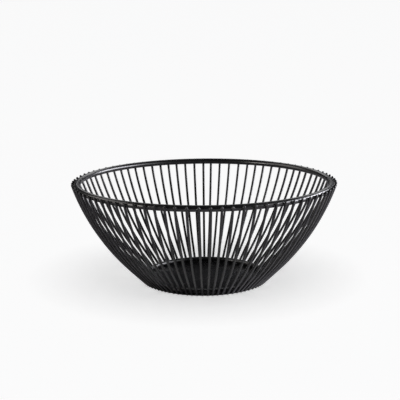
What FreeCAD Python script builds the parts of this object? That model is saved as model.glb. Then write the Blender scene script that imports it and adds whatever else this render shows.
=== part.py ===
import FreeCAD, Part
import math
import os

# Round bread basket: thin steel wires stand side by side round a flat base and lean out to a
# thick round rim rod. Every joint is a weld, so nothing moves.
# Millimetres, +Z up. The origin is the middle of the base's underside, and the front faces -Y.

# base
plate_thickness = 2.0        # flat disc that the basket stands on
plate_edge_round = 0.4       # broken edges of the disc
plate_clearance = 0.3        # from the disc's edge to the wires
base_ring_radius = 59.6      # to the middle of the rod bent into the ring on top of the disc
base_ring_rod = 4.5

# rim
rim_height = 101.7           # top of the rim rod above the table
rim_radius = 124.4           # to the middle of the rod bent into the rim
rim_rod = 6.0

# wires
wire_count = 81
wire_rod = 2.5
base_lean = 45.6             # degrees from upright, where the wires leave the base ring
straight_run = 20.0          # straight part of a wire, up from its weld on the base ring
foot_clearance = 0.4         # cut foot of a wire above the table
tip_below_rim = 0.7          # rounded tip of a wire under the top of the rim rod
wires_per_node = 2           # neighbours that share a node as separate solids

# the wires stray from even spacing in a slow wave and a quick one round the basket:
# degrees either way, radians from one wire to the next, radians at the front wire
slow_wave = (0.54, 0.20, -1.30)
quick_wave = (0.26, 1.15, 0.55)

weld_gap = 0.05              # left between pieces that are welded together

ring_height = plate_thickness + weld_gap + base_ring_rod / 2
origin = FreeCAD.Vector(0, 0, 0)
upright = FreeCAD.Vector(0, 0, 1)


def leaning(degrees):
    """Unit vector in the XZ plane that leans out from upright by this angle."""
    lean = math.radians(degrees)
    return FreeCAD.Vector(math.sin(lean), 0, math.cos(lean))


along = leaning(base_lean)             # up the straight run
inward = leaning(base_lean - 90)       # square to it, into the bowl


def wire_foot():
    """Middle of a wire's cut foot, and its weld on the outside of the base ring."""
    ring_middle = FreeCAD.Vector(base_ring_radius, 0, ring_height)
    weld = ring_middle - inward * (base_ring_rod / 2 + weld_gap + wire_rod / 2)
    lowest_corner = weld.z - inward.z * wire_rod / 2
    tail = (lowest_corner - foot_clearance) / along.z
    return weld - along * tail, weld


def make_wire():
    """One wire in the XZ plane: cut square at its foot, bent to the bowl, rounded at its tip."""
    foot, weld = wire_foot()
    bend_start = weld + along * straight_run

    # one arc, tangent to the straight run, passes just outside the rim rod
    rim_middle = FreeCAD.Vector(rim_radius, 0, rim_height - rim_rod / 2)
    rim_offset = rim_rod / 2 + weld_gap + wire_rod / 2
    reach = bend_start - rim_middle
    bend_radius = (rim_offset ** 2 - reach.dot(reach)) / (2 * (reach.dot(inward) + rim_offset))
    bend_middle = bend_start + inward * bend_radius

    # the arc stops where the rounded tip is just under the top of the rim rod
    tip_height = rim_height - tip_below_rim - wire_rod / 2
    tip_lean = math.degrees(math.asin((bend_middle.z - tip_height) / bend_radius))
    bend_half = bend_middle - leaning((base_lean + tip_lean) / 2 - 90) * bend_radius
    bend_end = bend_middle - leaning(tip_lean - 90) * bend_radius

    path = Part.Wire([
        Part.LineSegment(foot, bend_start).toShape(),
        Part.Arc(bend_start, bend_half, bend_end).toShape(),
    ])
    section = Part.Wire([Part.Circle(foot, along, wire_rod / 2).toShape()])
    rod = path.makePipeShell([section], True, False)
    tip = Part.makeSphere(wire_rod / 2, bend_end, leaning(tip_lean), 0, 90, 360)
    print("wire bent to %.1f, leans %.1f at its tip" % (bend_radius, tip_lean))
    return rod.fuse(tip).removeSplitter().Solids[0]


def make_ring(ring_radius, rod, middle_height):
    """A rod bent into a closed ring that lies level."""
    return Part.makeTorus(ring_radius, rod / 2, FreeCAD.Vector(0, 0, middle_height))


def make_plate():
    """The flat disc of the base, as wide as fits inside the wires, with its edges broken."""
    foot, weld = wire_foot()
    wire_inside = foot + inward * wire_rod / 2
    room = wire_inside.x + (plate_thickness - wire_inside.z) * along.x / along.z
    disc = Part.makeCylinder(room - plate_clearance, plate_thickness)
    rims = [edge for edge in disc.Edges if isinstance(edge.Curve, Part.Circle)]
    return disc.makeFillet(plate_edge_round, rims)


def wire_angle(place):
    """Degrees about +Z from the front to a wire, by its place among the wires; the front's is 0."""
    stray = sum(size * math.sin(step * place + start) for size, step, start in (slow_wave, quick_wave))
    return place * 360.0 / wire_count + stray


def save(name, shape):
    shape.exportStep(os.path.join("parts", name + ".step"))


os.makedirs("parts", exist_ok=True)
save("base_plate", make_plate())
save("base_ring", make_ring(base_ring_radius, base_ring_rod, ring_height))
save("rim_rod", make_ring(rim_radius, rim_rod, rim_height - rim_rod / 2))

front_wire = make_wire()
front_wire.rotate(origin, upright, -90)
first_place = -(wire_count // 2)             # at the back, just left of the middle
for first in range(0, wire_count, wires_per_node):
    wires = []
    for number in range(first, min(first + wires_per_node, wire_count)):
        wire = front_wire.copy()
        wire.rotate(origin, upright, wire_angle(first_place + number))
        wires.append(wire)
    save("wall_wires_%02d" % (first // wires_per_node + 1), Part.makeCompound(wires))
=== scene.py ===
import bpy
import bmesh
import math
import random
from bmesh.types import BMEdge, BMVert
from mathutils import Matrix, Vector


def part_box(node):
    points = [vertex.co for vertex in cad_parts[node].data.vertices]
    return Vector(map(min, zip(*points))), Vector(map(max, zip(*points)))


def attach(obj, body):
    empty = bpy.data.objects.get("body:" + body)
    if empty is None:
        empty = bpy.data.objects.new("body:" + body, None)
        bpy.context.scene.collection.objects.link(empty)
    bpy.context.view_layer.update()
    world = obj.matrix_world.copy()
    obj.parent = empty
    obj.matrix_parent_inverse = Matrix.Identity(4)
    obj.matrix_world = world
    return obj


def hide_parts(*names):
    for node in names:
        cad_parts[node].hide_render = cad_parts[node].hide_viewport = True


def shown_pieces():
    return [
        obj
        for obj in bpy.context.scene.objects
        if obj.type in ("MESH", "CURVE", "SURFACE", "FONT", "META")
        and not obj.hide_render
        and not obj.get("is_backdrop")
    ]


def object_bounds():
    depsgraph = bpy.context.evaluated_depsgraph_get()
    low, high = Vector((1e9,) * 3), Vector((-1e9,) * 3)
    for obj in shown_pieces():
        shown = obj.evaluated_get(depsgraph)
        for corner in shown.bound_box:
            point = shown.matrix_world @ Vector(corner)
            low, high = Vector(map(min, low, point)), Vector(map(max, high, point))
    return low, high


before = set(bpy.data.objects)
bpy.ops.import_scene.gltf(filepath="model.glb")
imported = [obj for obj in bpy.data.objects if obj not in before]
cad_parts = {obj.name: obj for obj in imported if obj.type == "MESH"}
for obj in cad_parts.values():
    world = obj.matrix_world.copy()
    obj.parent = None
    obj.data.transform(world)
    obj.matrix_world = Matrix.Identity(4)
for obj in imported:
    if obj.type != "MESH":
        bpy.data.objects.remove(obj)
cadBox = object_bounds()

# An empty round wire bread basket. The rods, wires and plate are rebuilt round and smooth in the
# places that the frame gives, with the welds that hold them and a satin powder coat.

up = Vector((0, 0, 1))
origin = Vector((0, 0, 0))


def finishPiece(bm, name, material, replaced=()):
    bmesh.ops.recalc_face_normals(bm, faces=bm.faces)
    mesh = bpy.data.meshes.new(name)
    bm.to_mesh(mesh)
    bm.free()
    for face in mesh.polygons:
        face.use_smooth = True
    mesh.materials.append(material)
    piece = bpy.data.objects.new(name, mesh)
    bpy.context.scene.collection.objects.link(piece)
    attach(piece, "root")
    if replaced:
        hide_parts(*replaced)


def leaning(degrees):    # unit vector in the XZ plane, this far out from upright
    return Vector((math.sin(math.radians(degrees)), 0, math.cos(math.radians(degrees))))


def ringSizes(node):    # rod, ring radius and middle height of a rod bent into a level ring
    low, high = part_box(node)
    rod = high.z - low.z
    return rod, (high.x - low.x - rod) / 2, (high.z + low.z) / 2


def only(kind, geom):    # the vertices or edges among what an operator made
    return [item for item in geom if isinstance(item, kind)]


class Value:    # a socket that can stand in sums
    def __init__(self, nodes, socket):
        self.nodes = nodes
        self.socket = socket

    def maths(self, operation, first, second):
        return self.nodes.node("ShaderNodeMath", {"operation": operation}, {0: first, 1: second})

    def __add__(self, other):
        return self.maths("ADD", self, other)

    def __radd__(self, other):
        return self.maths("ADD", other, self)

    def __sub__(self, other):
        return self.maths("SUBTRACT", self, other)

    def __rsub__(self, other):
        return self.maths("SUBTRACT", other, self)

    def __mul__(self, other):
        return self.maths("MULTIPLY", self, other)

    def __rmul__(self, other):
        return self.maths("MULTIPLY", other, self)


class Nodes:    # a node tree that is filled through one method
    def __init__(self, tree):
        self.tree = tree

    def node(self, kind, settings, sockets, output=0):
        made = self.tree.nodes.new(kind)
        for key, value in settings.items():
            if key == "stops":
                self.setStops(made.color_ramp, value)
            else:
                setattr(made, key, value)
        for key, value in sockets.items():
            self.feed(made.inputs[key], value)
        return Value(self, made.outputs[output])

    def setStops(self, ramp, stops):
        while len(ramp.elements) < len(stops):
            ramp.elements.new(1.0)
        for element, (position, shade) in zip(ramp.elements, stops):
            element.position = position
            element.color = (*shade, 1.0)

    def feed(self, socket, value):
        if isinstance(value, Value):
            self.tree.links.new(value.socket, socket)
        else:
            socket.default_value = value


class Finish(Nodes):    # one material
    def __init__(self, name):
        self.material = bpy.data.materials.new(name)
        self.material.use_nodes = True
        super().__init__(self.material.node_tree)
        self.position = self.node("ShaderNodeTexCoord", {}, {}, "Object")

    def noise(self, size, detail=2.0):    # size of a grain in metres
        return self.node("ShaderNodeTexNoise", {}, {
            "Vector": self.position, "Scale": 1.0 / size, "Detail": detail}, "Fac")

    def bump(self, relief):    # relief in metres
        return self.node("ShaderNodeBump", {}, {"Height": relief, "Distance": 1.0}, "Normal")

    def set(self, **values):
        shader = self.tree.nodes["Principled BSDF"]
        for key, value in values.items():
            self.feed(shader.inputs[key.replace("_", " ")], value)


coat = {
    "dark": (0.0060, 0.0060, 0.0063),
    "light": (0.0120, 0.0120, 0.0125),
    "darkStop": 0.3,         # noise at and below this is dark
    "lightStop": 0.7,        # and light from here up
    "even": 0.5,             # noise that changes nothing
    "driftSize": 0.03,       # slow change of shade and gloss
    "driftDetail": 3.0,
    "driftShare": 0.7,
    "driftRoughness": 0.12,
    "grainSize": 0.00035,    # grain of the powder
    "grainShare": 0.3,
    "grainRoughness": 0.08,
    "grainDepth": 0.000004,
    "peelSize": 0.0013,      # one swell of the orange peel
    "peelDetail": 1.0,
    "peelDepth": 0.000022,
    "wirePeel": 0.75,        # the peel on the wires and the plate against that on the rods
    "platePeel": 1.2,
    "roughness": 0.26,
    "refraction": 1.5,
}


def makeCoat(name, peelScale=1.0):
    finish = Finish(name)
    drift = finish.noise(coat["driftSize"], coat["driftDetail"])
    grain = finish.noise(coat["grainSize"])
    peel = finish.noise(coat["peelSize"] * peelScale, coat["peelDetail"])
    shade = drift * coat["driftShare"] + grain * coat["grainShare"]
    stops = [(coat["darkStop"], coat["dark"]), (coat["lightStop"], coat["light"])]
    colour = finish.node("ShaderNodeValToRGB", {"stops": stops}, {"Fac": shade}, "Color")
    roughness = (coat["roughness"] + (drift - coat["even"]) * coat["driftRoughness"]
                 + (grain - coat["even"]) * coat["grainRoughness"])
    relief = peel * coat["peelDepth"] * peelScale + grain * coat["grainDepth"]
    finish.set(Base_Color=colour, Roughness=roughness, Normal=finish.bump(relief),
               IOR=coat["refraction"])
    return finish.material


rodCoat = makeCoat("rodCoat")
wireCoat = makeCoat("wireCoat", coat["wirePeel"])
plateCoat = makeCoat("plateCoat", coat["platePeel"])
print("coat ready")


ring = {
    "sides": 28,
    "rimSteps": 264,
    "baseSteps": 160,
    "rimWeldTurn": 97.0,     # butt welds at the back, degrees about +Z from +X
    "baseWeldTurn": 83.0,
    "weldDip": 0.00008,
}


def makeRing(name, node, steps, weldTurn):
    rod, ringRadius, height = ringSizes(node)
    bm = bmesh.new()
    section = bmesh.ops.create_circle(bm, segments=ring["sides"], radius=rod / 2)["verts"]
    bmesh.ops.rotate(bm, verts=section, cent=origin, matrix=Matrix.Rotation(math.pi / 2, 3, "X"))
    bmesh.ops.translate(bm, verts=section, vec=(ringRadius, 0, height))
    bmesh.ops.spin(bm, geom=bm.verts[:] + bm.edges[:], cent=origin, axis=up,
                   angle=2 * math.pi, steps=steps, use_merge=True)
    turnStep = 2 * math.pi / steps
    seam = round(math.radians(weldTurn) / turnStep) * turnStep
    middle = Vector((math.cos(seam) * ringRadius, math.sin(seam) * ringRadius, height))
    seamLoop = [vert for vert in bm.verts if (vert.co - middle).length < rod / 2 + ring["weldDip"]]
    flush = 1 - ring["weldDip"] / (rod / 2)    # the weld is ground a little below the rod
    bmesh.ops.scale(bm, vec=(flush, flush, flush), space=Matrix.Translation(-middle), verts=seamLoop)
    finishPiece(bm, name, rodCoat, [node])


makeRing("rimRod", "rim_rod", ring["rimSteps"], ring["rimWeldTurn"])
makeRing("baseRing", "base_ring", ring["baseSteps"], ring["baseWeldTurn"])
print("rings ready")


plate = {
    "steps": 192,
    "edgeRound": 0.0004,
    "edgeSegments": 3,
    "levelWithin": 0.000001,    # an edge is level if its ends differ less in height
}


def makePlate():
    low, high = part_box("base_plate")
    bm = bmesh.new()
    bmesh.ops.create_cone(bm, cap_ends=True, segments=plate["steps"], radius1=high.x, radius2=high.x,
                          depth=high.z - low.z)
    bmesh.ops.translate(bm, verts=bm.verts, vec=(0, 0, (high.z + low.z) / 2))
    rims = [edge for edge in bm.edges
            if abs(edge.verts[0].co.z - edge.verts[1].co.z) < plate["levelWithin"]]
    bmesh.ops.bevel(bm, geom=rims, offset=plate["edgeRound"], segments=plate["edgeSegments"],
                    profile=0.5, affect="EDGES", material=-1)
    finishPiece(bm, "basePlate", plateCoat, ["base_plate"])


makePlate()
print("plate ready")


wire = {
    "count": 81,
    "perNode": 2,
    "rod": 0.0025,
    "baseLean": 45.6,         # degrees from upright at the base ring
    "straightRun": 0.020,
    "footClearance": 0.0004,
    "tipBelowRim": 0.0007,
    "slowWave": (0.54, 0.20, -1.30),    # how far wires stray from even spacing, in degrees,
    "quickWave": (0.26, 1.15, 0.55),    # then radians from wire to wire, and at the front wire
    "weldGap": 0.00005,
    "sides": 16,
    "bendSteps": 26,
    "tipSegments": 5,
    "tipRound": 0.96,         # share of the wire's radius
    "footSegments": 2,
    "footRound": 0.00018,
}

rimRodSize, rimRadius, rimMiddle = ringSizes("rim_rod")
baseRodSize, baseRadius, baseMiddle = ringSizes("base_ring")
wireRadius = wire["rod"] / 2
along = leaning(wire["baseLean"])
inward = leaning(wire["baseLean"] - 90)

# the straight run leans on the outside of the base ring
baseContact = Vector((baseRadius, 0, baseMiddle)) - inward * (baseRodSize / 2)
baseWeld = baseContact - inward * (wire["weldGap"] + wireRadius)
tail = (baseWeld.z - inward.z * wireRadius - wire["footClearance"]) / along.z
foot = baseWeld - along * tail
bendStart = baseWeld + along * wire["straightRun"]

# the arc passes just outside the rim rod
rimCentre = Vector((rimRadius, 0, rimMiddle))
rimOffset = rimRodSize / 2 + wire["weldGap"] + wireRadius
reach = bendStart - rimCentre
bendRadius = (rimOffset ** 2 - reach.dot(reach)) / (2 * (reach.dot(inward) + rimOffset))
bendMiddle = bendStart + inward * bendRadius
tipHeight = rimMiddle + rimRodSize / 2 - wire["tipBelowRim"] - wireRadius
tipLean = math.degrees(math.asin((bendMiddle.z - tipHeight) / bendRadius))
rimTouch = rimCentre - bendMiddle    # square to the wire where it touches the rim rod


def wireTurn(number):    # about +Z, from the +X side that the wire is made on
    fromFront = number - wire["count"] // 2
    waves = (wire["slowWave"], wire["quickWave"])
    stray = sum(size * math.sin(step * fromFront + start) for size, step, start in waves)
    return math.radians(fromFront * 360 / wire["count"] + stray - 90)


def makeWireMesh():
    bm = bmesh.new()
    section = bmesh.ops.create_circle(bm, segments=wire["sides"], radius=wireRadius)["verts"]
    lean = Matrix.Rotation(math.radians(wire["baseLean"]), 3, "Y")
    bmesh.ops.rotate(bm, verts=section, cent=origin, matrix=lean)
    bmesh.ops.translate(bm, verts=section, vec=foot)
    footEdges = bm.edges[:]
    grown = bmesh.ops.extrude_edge_only(bm, edges=footEdges)["geom"]
    bmesh.ops.translate(bm, verts=only(BMVert, grown), vec=bendStart - foot)
    bent = bmesh.ops.spin(bm, geom=only((BMVert, BMEdge), grown), cent=bendMiddle, axis=(0, -1, 0),
                          angle=math.radians(wire["baseLean"] - tipLean), steps=wire["bendSteps"])
    grown = bmesh.ops.extrude_edge_only(bm, edges=only(BMEdge, bent["geom_last"]))["geom"]
    bmesh.ops.translate(bm, verts=only(BMVert, grown), vec=leaning(tipLean) * wireRadius)
    tipEdges = only(BMEdge, grown)
    bmesh.ops.edgeloop_fill(bm, edges=footEdges)
    bmesh.ops.edgeloop_fill(bm, edges=tipEdges)
    bmesh.ops.bevel(bm, geom=tipEdges, offset=wireRadius * wire["tipRound"],
                    segments=wire["tipSegments"], profile=0.5, affect="EDGES", material=-1)
    footEdges = [edge for edge in bm.edges if edge.is_valid and len(edge.link_faces) == 2
                 and any(len(face.verts) == wire["sides"] for face in edge.link_faces)
                 and edge.verts[0].co.z < bendStart.z]
    bmesh.ops.bevel(bm, geom=footEdges, offset=wire["footRound"], segments=wire["footSegments"],
                    profile=0.5, affect="EDGES", material=-1)
    mesh = bpy.data.meshes.new("wireShape")
    bm.to_mesh(mesh)
    bm.free()
    return mesh


def makeWires():
    shape = makeWireMesh()
    for first in range(0, wire["count"], wire["perNode"]):
        bm = bmesh.new()
        for number in range(first, min(first + wire["perNode"], wire["count"])):
            already = len(bm.verts)
            bm.from_mesh(shape)
            bmesh.ops.rotate(bm, verts=bm.verts[already:], cent=origin,
                             matrix=Matrix.Rotation(wireTurn(number), 3, "Z"))
        pair = first // wire["perNode"] + 1
        finishPiece(bm, "wallWires%02d" % pair, wireCoat, ["wall_wires_%02d" % pair])
    bpy.data.meshes.remove(shape)


makeWires()
print("wires ready: bent to %.4f, lean %.1f at the tip" % (bendRadius, tipLean))


weld = {
    "rimFillet": 0.0010,      # radius of the fillet from the wire down to the rod
    "baseFillet": 0.0008,
    "arcSteps": 6,
    "reach": 30,              # degrees round the rod, either way from the fillet's middle
    "reachSteps": 10,
    "rimLift": 6,             # degrees up the rim rod from where the wire touches it
    "toe": 0.50,              # width of the fillet's ends against its middle
    "sink": 0.0003,           # underside of the fillet inside the rod
    "spread": 0.10,           # how much one weld differs from the next
    "seed": 11,
}


def makeFilletMesh(rodRadius, fillet):    # rod along Y through the origin, the wire on its +X side
    gap = wire["weldGap"]
    side = math.sqrt((2 * fillet - gap) * (2 * wireRadius + gap))
    sweep = math.atan2(side, fillet - wireRadius - gap)
    bm = bmesh.new()
    under = bm.verts.new((rodRadius - weld["sink"], side, 0))
    edge = bm.verts.new((rodRadius, side, 0))
    bm.edges.new((under, edge))
    bmesh.ops.spin(bm, geom=[edge], cent=(rodRadius + fillet, side, 0), axis=up,
                   angle=sweep, steps=weld["arcSteps"])
    bmesh.ops.mirror(bm, geom=bm.verts[:] + bm.edges[:], axis="Y")
    outwards = sorted(bm.verts, key=lambda vert: vert.co.x)
    bm.edges.new(outwards[:2])     # across the underside
    bm.edges.new(outwards[-2:])    # across the top, inside the wire

    # the section travels round the rod, narrow at first, wide in the middle and narrow again
    widths = [1 - (1 - weld["toe"]) * (2 * step / weld["reachSteps"] - 1) ** 2
              for step in range(weld["reachSteps"] + 1)]
    firstLoop = bm.edges[:]
    start = Matrix.Rotation(math.radians(weld["reach"]), 3, "Y")
    bmesh.ops.rotate(bm, verts=bm.verts, cent=origin, matrix=start)
    bmesh.ops.scale(bm, verts=bm.verts, vec=(1, widths[0], 1))
    onward = Matrix.Rotation(math.radians(-2 * weld["reach"] / weld["reachSteps"]), 3, "Y")
    loop = firstLoop
    for before, after in zip(widths, widths[1:]):
        grown = bmesh.ops.extrude_edge_only(bm, edges=loop)["geom"]
        verts = only(BMVert, grown)
        bmesh.ops.rotate(bm, verts=verts, cent=origin, matrix=onward)
        bmesh.ops.scale(bm, verts=verts, vec=(1, after / before, 1))
        loop = only(BMEdge, grown)
    bmesh.ops.edgeloop_fill(bm, edges=firstLoop)
    bmesh.ops.edgeloop_fill(bm, edges=loop)
    mesh = bpy.data.meshes.new("filletShape")
    bm.to_mesh(mesh)
    bm.free()
    return mesh


def makeWelds(name, rodMiddle, rodRadius, fillet, outwardLean):
    shape = makeFilletMesh(rodRadius, fillet)
    luck = random.Random(weld["seed"])
    turnOut = Matrix.Rotation(math.radians(outwardLean - 90), 4, "Y")
    bm = bmesh.new()
    for number in range(wire["count"]):
        across, tall = (1 + luck.uniform(-weld["spread"], weld["spread"]) for draw in range(2))
        already = len(bm.verts)
        bm.from_mesh(shape)
        bmesh.ops.transform(bm, verts=bm.verts[already:], matrix=(
            Matrix.Rotation(wireTurn(number), 4, "Z") @ Matrix.Translation(rodMiddle) @ turnOut
            @ Matrix.Diagonal((1, across, tall, 1))))
    bpy.data.meshes.remove(shape)
    finishPiece(bm, name, wireCoat)


rimTouchLean = math.degrees(math.atan2(rimTouch.x, rimTouch.z))
makeWelds("rimWelds", rimCentre, rimRodSize / 2, weld["rimFillet"], rimTouchLean - weld["rimLift"])
makeWelds("baseWelds", Vector((baseRadius, 0, baseMiddle)), baseRodSize / 2, weld["baseFillet"],
          wire["baseLean"] + 90)
print("welds ready")


studio = {
    "floorSize": 60.0,
    "paperDrop": 0.00003,    # sheets lie this far under the basket
    "glowPatchDrop": 0.0004,
    "tableDrop": 0.0005,
    "floorShade": (0.80, 0.80, 0.80),
    "floorGrain": 0.0011,
    "floorRelief": 0.00002,
    "floorGlow": 0.47,       # the paper is lit from below too, so it stays white
    "sheetRoughness": 0.9,
    "sheetGloss": 0.1,
    "sunStrength": 1.9,      # soft light on the paper alone
    "sunSpread": 50,
    "sunPlace": (20, 78, 2),    # turn, angle above level and distance, as for the lamps
    "tableShade": (0.84, 0.82, 0.84),
    "glowPatchSize": (0.13, 0.057),    # painted pool of light: a white glowing patch on the table, under the front of the basket
    "glowPatchPlace": (0.005, -0.0965),
    "glowPatchGlow": 0.52,
    "keyEnd": 0.02,          # the key lamp leaves out wires further left than this
    "roomShade": (0.90, 0.92, 1.0),
    "roomStrength": 0.035,
    "skyShade": (0.93, 0.93, 0.93),
    # turn from the front towards +X and angle above level, in degrees, then distance, width,
    # height, watts, shade and what it lights
    "lamps": {
        "keyLamp": (100, 15, 1.3, 1.25, 0.6, 44, (0.94, 0.94, 1.0), "keySide"),
        "fillLamp": (-95, 25, 1.4, 0.9, 1.2, 8, (1.0, 0.96, 0.93), "basketAndTable"),
        "windowLamp": (-57, 12, 1.4, 0.5, 0.4, 8, (1.0, 0.96, 0.93), "basket"),
        "sideLamp": (60, 18, 1.4, 0.5, 0.4, 3, (1.0, 1.0, 1.0), "basket"),
        "rimLamp": (176, 32, 1.8, 1.8, 0.7, 7, (1.0, 1.0, 1.0), "rods"),
    },
}

camera = {
    "turn": 1.67,            # degrees from the front towards +X
    "height": 11.73,         # degrees above level
    "distance": 1.0,
    "aimHeight": 0.7916,     # share of the basket's height
    "aimLeft": 0.0041,       # from the basket's middle to the middle of the view
    "roll": -0.5,
    "lens": 90.8,            # millimetres, as the sensor is
    "sensor": 36,
    "clipEnd": 100,
}


def around(turn, height, distance):
    flat = math.cos(math.radians(height)) * distance
    side = math.radians(turn)
    raised = math.sin(math.radians(height)) * distance
    return Vector((math.sin(side) * flat, -math.cos(side) * flat, raised))


def placeAround(name, data, turn, height, distance):    # facing the middle of the basket
    holder = bpy.data.objects.new(name, data)
    holder.location = around(turn, height, distance)
    aim = holder.location - Vector((0, 0, cadBox[1].z / 2))
    holder.rotation_euler = aim.to_track_quat("Z", "Y").to_euler()
    bpy.context.scene.collection.objects.link(holder)
    return holder


def makeSheet(name, size, location, finish):
    bm = bmesh.new()
    bmesh.ops.create_grid(bm, x_segments=2, y_segments=2, size=0.5)    # one metre square
    bmesh.ops.scale(bm, verts=bm.verts, vec=(*size, 1))
    mesh = bpy.data.meshes.new(name)
    bm.to_mesh(mesh)
    bm.free()
    mesh.materials.append(finish.material)
    sheet = bpy.data.objects.new(name, mesh)
    sheet.location = location
    bpy.context.scene.collection.objects.link(sheet)
    sheet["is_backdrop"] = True
    return sheet


def makeFloor():    # the camera sees the paper, and the basket sees the table and a glowing patch of painted light on it
    size = (studio["floorSize"], studio["floorSize"])
    matt = {"Roughness": studio["sheetRoughness"], "Specular_IOR_Level": studio["sheetGloss"]}
    paper = Finish("paper")
    grain = paper.noise(studio["floorGrain"])
    paper.set(Base_Color=(*studio["floorShade"], 1), Normal=paper.bump(grain * studio["floorRelief"]),
              Emission_Color=(1, 1, 1, 1), Emission_Strength=studio["floorGlow"], **matt)
    floor = makeSheet("floor", size, (0, 0, -studio["paperDrop"]), paper)
    floor.visible_diffuse = False
    floor.visible_glossy = False
    floor.visible_shadow = False

    board = Finish("board")
    board.set(Base_Color=(*studio["tableShade"], 1), **matt)
    table = makeSheet("table", size, (0, 0, -studio["tableDrop"]), board)
    table.visible_camera = False

    # a sheet that glows though it is no lamp: a painted pool of light on the table under the front of
    # the basket, hidden from the camera
    white = Finish("white")
    white.set(Base_Color=(0, 0, 0, 1), Emission_Color=(1, 1, 1, 1), Emission_Strength=studio["glowPatchGlow"])
    glowPatch = makeSheet("glowPatch", studio["glowPatchSize"], (*studio["glowPatchPlace"], -studio["glowPatchDrop"]), white)
    glowPatch.visible_camera = False
    return floor, table


def receiverGroup(name, objects):    # a lamp lights these alone
    group = bpy.data.collections.new(name)
    for item in objects:
        group.objects.link(item)
    return group


def reachedFromInside(piece):    # front left wires, which the key lamp only reaches through the basket
    corners = [Vector(corner) for corner in piece.bound_box]
    middle = sum(corners, Vector()) / len(corners)
    return middle.x < -studio["keyEnd"] and middle.y < 0


def makeLamps(floor, table):
    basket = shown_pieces()
    keySide = [piece for piece in basket if not reachedFromInside(piece)]
    receivers = {
        "basket": receiverGroup("basket", basket),
        "basketAndTable": receiverGroup("basketAndTable", [table, *basket]),
        "keySide": receiverGroup("keySide", [table, *keySide]),
        "rods": receiverGroup("rods", [piece for piece in basket if piece.name != "basePlate"]),
    }
    for name, (turn, height, distance, width, tall, watts, shade, lit) in studio["lamps"].items():
        lamp = bpy.data.lights.new(name, "AREA")
        lamp.shape = "RECTANGLE"
        lamp.size = width
        lamp.size_y = tall
        lamp.energy = watts
        lamp.color = shade
        holder = placeAround(name, lamp, turn, height, distance)
        holder.light_linking.receiver_collection = receivers[lit]
    sun = bpy.data.lights.new("paperLight", "SUN")
    sun.energy = studio["sunStrength"]
    sun.angle = math.radians(studio["sunSpread"])
    holder = placeAround("paperLight", sun, *studio["sunPlace"])
    holder.light_linking.receiver_collection = receiverGroup("paper", [floor])


def makeRoom():    # rays from the camera see a pale sky, and the basket sees a dim room
    world = bpy.data.worlds.new("room")
    world.use_nodes = True
    nodes = Nodes(world.node_tree)
    room = nodes.node("ShaderNodeBackground", {}, {
        "Color": (*studio["roomShade"], 1), "Strength": studio["roomStrength"]})
    sky = nodes.node("ShaderNodeBackground", {}, {"Color": (*studio["skyShade"], 1)})
    direct = nodes.node("ShaderNodeLightPath", {}, {}, "Is Camera Ray")
    both = nodes.node("ShaderNodeMixShader", {}, {0: direct, 1: room, 2: sky})
    nodes.feed(world.node_tree.nodes["World Output"].inputs["Surface"], both)
    bpy.context.scene.world = world


def makeCamera():
    lens = bpy.data.cameras.new("camera")
    lens.lens = camera["lens"]
    lens.sensor_width = camera["sensor"]
    lens.clip_end = camera["clipEnd"]
    holder = bpy.data.objects.new("camera", lens)
    target = Vector((0, 0, cadBox[1].z * camera["aimHeight"]))
    holder.location = target + around(camera["turn"], camera["height"], camera["distance"])
    side = math.radians(camera["turn"])
    aim = target - Vector((math.cos(side), math.sin(side), 0)) * camera["aimLeft"]
    look = (holder.location - aim).to_track_quat("Z", "Y").to_matrix().to_4x4()
    rolled = look @ Matrix.Rotation(math.radians(camera["roll"]), 4, "Z")
    holder.rotation_euler = rolled.to_euler()
    bpy.context.scene.collection.objects.link(holder)
    bpy.context.scene.camera = holder


makeLamps(*makeFloor())
makeRoom()
makeCamera()
bpy.context.scene.view_settings.view_transform = "Standard"
print("studio ready")
